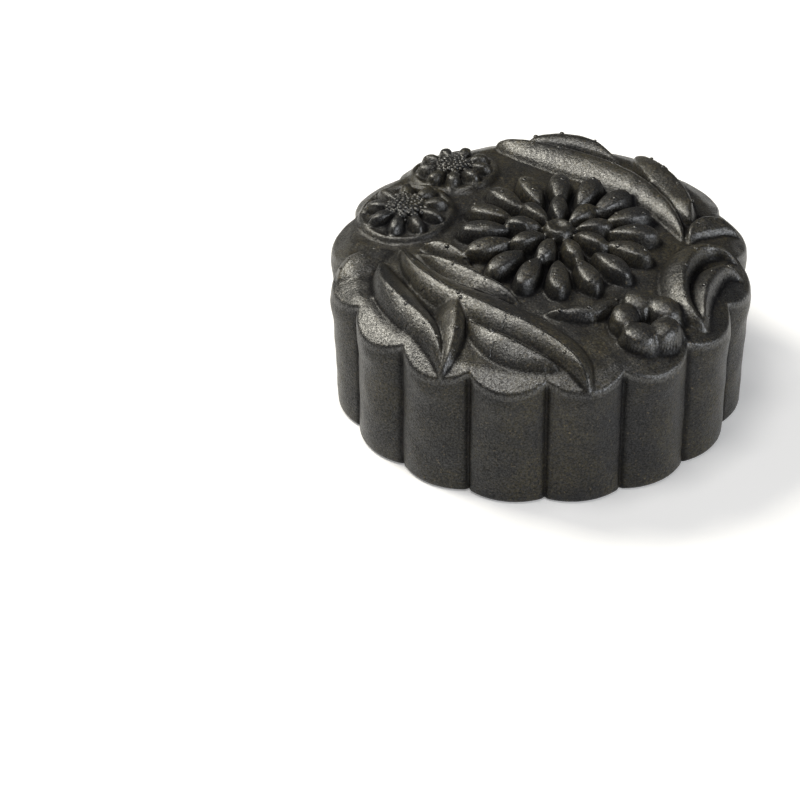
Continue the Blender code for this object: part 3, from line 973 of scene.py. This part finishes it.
def floor_material(stage):
    """Pale matt paper with a barely seen tooth."""
    material = bpy.data.materials.new("pale_floor")
    material.use_nodes = True
    tree = material.node_tree
    shader = tree.nodes["Principled BSDF"]
    build = NodeBuilder(tree)
    place = build.add("ShaderNodeTexCoord").outputs["Object"]
    tooth = build.noise(place, 40.0, 3.0)
    shade = tuple(0.985 * c for c in stage.floor[:3]) + (1.0,)
    tree.links.new(build.mix(tooth, shade, tuple(stage.floor)), shader.inputs["Base Color"])
    shader.inputs["Roughness"].default_value = 0.9
    shader.inputs["Specular IOR Level"].default_value = 0.1
    shader.inputs["Emission Color"].default_value = (1.0, 1.0, 1.0, 1.0)
    shader.inputs["Emission Strength"].default_value = stage.floor_glow
    return material


def add_light(name, place, size, power, colour):
    """Hang a square soft light that faces the cake."""
    light = bpy.data.lights.new(name, "AREA")
    light.shape = "SQUARE"
    light.size = size
    light.energy = power
    light.color = colour
    item = link_new(name, light)
    item.location = place
    item.rotation_euler = (Vector(place) - Vector(LIGHT_AIM)).to_track_quat("Z", "Y").to_euler()
    return item


class MOONCAKE_OT_stage(bpy.types.Operator):
    """Lay the floor, hang the lights and set up the camera"""

    bl_idname = "mooncake.stage"
    bl_label = "Studio"

    def execute(self, context):
        scene = context.scene
        stage = scene.mooncake_stage
        reach = 3.0
        mesh = bpy.data.meshes.new("floor")
        corners = [(reach * a, reach * b, 0.0) for a, b in ((-1, -1), (1, -1), (1, 1), (-1, 1))]
        mesh.from_pydata(corners, [], [(0, 1, 2, 3)])
        floor = link_new("floor", mesh)
        mesh.materials.append(floor_material(stage))
        add_light("key_light", (-0.45, 0.23, 0.62), 0.26, stage.key_power, (1.0, 0.963, 0.85))
        add_light("fill_light", (0.64, -0.38, 0.27), 0.26, stage.fill_power, (0.93, 0.96, 1.0))
        add_light("top_light", (-0.12, -0.12, 0.84), 0.32, stage.top_power, (1.0, 0.98, 0.94))
        world = bpy.data.worlds.new("studio_room")
        world.use_nodes = True
        back = world.node_tree.nodes["Background"]
        back.inputs["Color"].default_value = (1.0, 1.0, 1.0, 1.0)
        back.inputs["Strength"].default_value = stage.room
        scene.world = world
        camera = bpy.data.cameras.new("camera")
        camera.lens = CAMERA_LENS
        camera.sensor_width = SENSOR_WIDTH
        camera.clip_start = 0.01
        item = link_new("camera", camera)
        item.location = CAMERA_PLACE
        item.rotation_euler = (CAMERA_PITCH, 0.0, CAMERA_YAW)
        scene.camera = item
        scene.view_settings.view_transform = "Standard"
        return {"FINISHED"}


class MOONCAKE_PT_panel(bpy.types.Panel):
    """Sizes, colours and steps of the mooncake"""

    bl_idname = "MOONCAKE_PT_panel"
    bl_label = "Mooncake"
    bl_space_type = "VIEW_3D"
    bl_region_type = "UI"
    bl_category = "Mooncake"

    def draw(self, context):
        scene = context.scene
        for group in (scene.mooncake_cake, scene.mooncake_relief,
                      scene.mooncake_skin, scene.mooncake_stage):
            box = self.layout.box()
            for key in group.__annotations__:
                box.prop(group, key)
        for step in STEPS:
            self.layout.operator(step.bl_idname)


GROUPS = {
    "mooncake_cake": CakeSettings,
    "mooncake_relief": ReliefSettings,
    "mooncake_skin": SkinSettings,
    "mooncake_stage": StageSettings,
}
STEPS = (MOONCAKE_OT_skin, MOONCAKE_OT_nubs, MOONCAKE_OT_beads, MOONCAKE_OT_stage)


def register():
    """Register the settings, the steps and the panel."""
    for name, group in GROUPS.items():
        bpy.utils.register_class(group)
        setattr(bpy.types.Scene, name, bpy.props.PointerProperty(type=group))
    for item in STEPS + (MOONCAKE_PT_panel,):
        bpy.utils.register_class(item)


def unregister():
    """Take the panel, the steps and the settings away again."""
    for item in reversed(STEPS + (MOONCAKE_PT_panel,)):
        bpy.utils.unregister_class(item)
    for name, group in reversed(list(GROUPS.items())):
        delattr(bpy.types.Scene, name)
        bpy.utils.unregister_class(group)


def main():
    register()
    bpy.ops.mooncake.skin()
    bpy.ops.mooncake.nubs()
    bpy.ops.mooncake.beads()
    bpy.ops.mooncake.stage()


if __name__ == "__main__":
    main()
